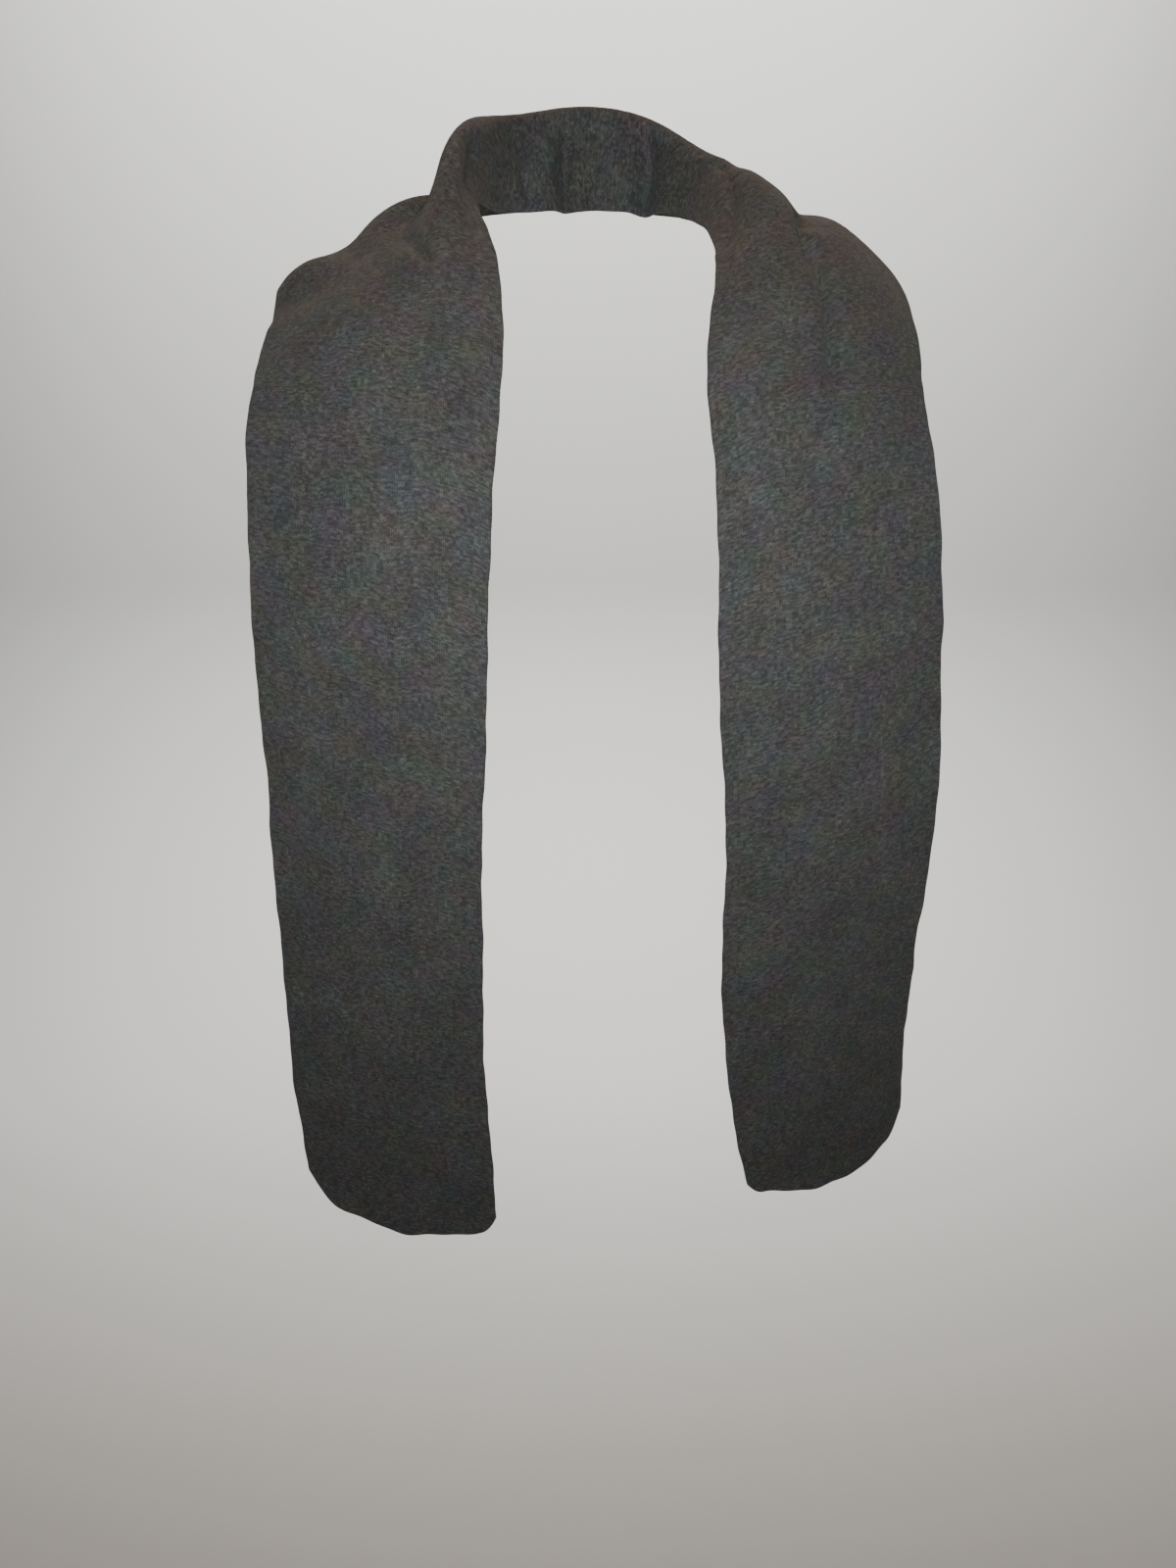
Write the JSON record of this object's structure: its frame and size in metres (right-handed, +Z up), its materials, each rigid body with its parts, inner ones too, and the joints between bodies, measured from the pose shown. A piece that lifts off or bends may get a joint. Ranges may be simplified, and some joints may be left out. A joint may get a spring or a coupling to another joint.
{
  "type": "wool scarf",
  "caption": "Long flat knitted scarf worn loosely: it stands up round the back of the neck, rolls over on the shoulders and hangs down the front in two lengths with rounded ends.",
  "frame": {"origin": "middle of the neck space, level with the lower edge of the cloth behind the neck", "axes": "+Z up, -Y the way the wearer faces, +X towards the wearer's left"},
  "size_m": [0.4712, 0.3035, 0.8148],
  "materials": {
    "wool": "matte heathered charcoal wool jersey"
  },
  "bodies": {
    "root": {"left_front": "wool", "neck_back": "wool", "right_front": "wool"}
  },
  "joints": []
}
